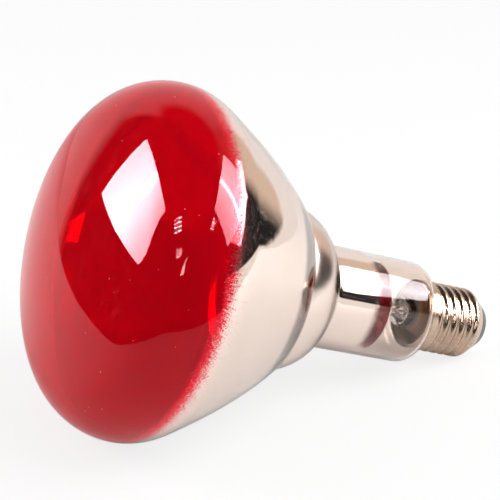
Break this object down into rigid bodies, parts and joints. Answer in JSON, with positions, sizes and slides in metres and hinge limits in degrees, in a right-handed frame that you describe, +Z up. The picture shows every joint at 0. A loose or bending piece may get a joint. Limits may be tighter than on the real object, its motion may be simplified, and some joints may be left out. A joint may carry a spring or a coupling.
{
  "type": "infrared heat lamp bulb",
  "caption": "Reflector heat lamp bulb with a red domed face, mirrored reflector, stepped ring, clear neck and screw cap, lying on its side.",
  "frame": {"origin": "on the surface the lamp lies on, under the middle of its box", "axes": "+Z up from the surface, +X along the lamp's length towards its cap, +Y across; the lamp's own axis lies in the XZ plane and falls by 20.4 degrees towards the cap"},
  "size_m": [0.1756, 0.125, 0.12],
  "materials": {
    "bulb_glass": "clear blown glass, red lacquer on the face outside, aluminised inside from the widest circle to the middle of the neck",
    "stem_glass": "clear polished",
    "lead_metal": "nickel plated wire",
    "seal_metal": "copper clad wire",
    "filament_metal": "dull tungsten",
    "deflector_metal": "bright sheet",
    "cement": "matte brown",
    "cap_metal": "bright plated",
    "cap_glass": "black vitreous",
    "contact_metal": "dull tinned",
    "solder": "dull tin"
  },
  "bodies": {
    "root": {"arbor_rod": "stem_glass", "cap_insulator": "cap_glass", "cap_shell": "cap_metal", "cement_ring": "cement", "centre_contact": "contact_metal", "contact_solder": "solder", "deflector_stay_far": "lead_metal", "deflector_stay_near": "lead_metal", "exhaust_tube": "stem_glass", "filament": "filament_metal", "filament_hook_1": "filament_metal", "filament_hook_2": "filament_metal", "filament_hook_3": "filament_metal", "filament_hook_4": "filament_metal", "filament_hook_5": "filament_metal", "glass_envelope": "bulb_glass", "heat_deflector": "deflector_metal", "lead_wire_far": "lead_metal", "lead_wire_near": "lead_metal", "outer_lead_contact": "seal_metal", "outer_lead_shell": "seal_metal", "seal_wire_far": "seal_metal", "seal_wire_near": "seal_metal", "side_solder": "solder", "stem": "stem_glass"}
  },
  "joints": []
}
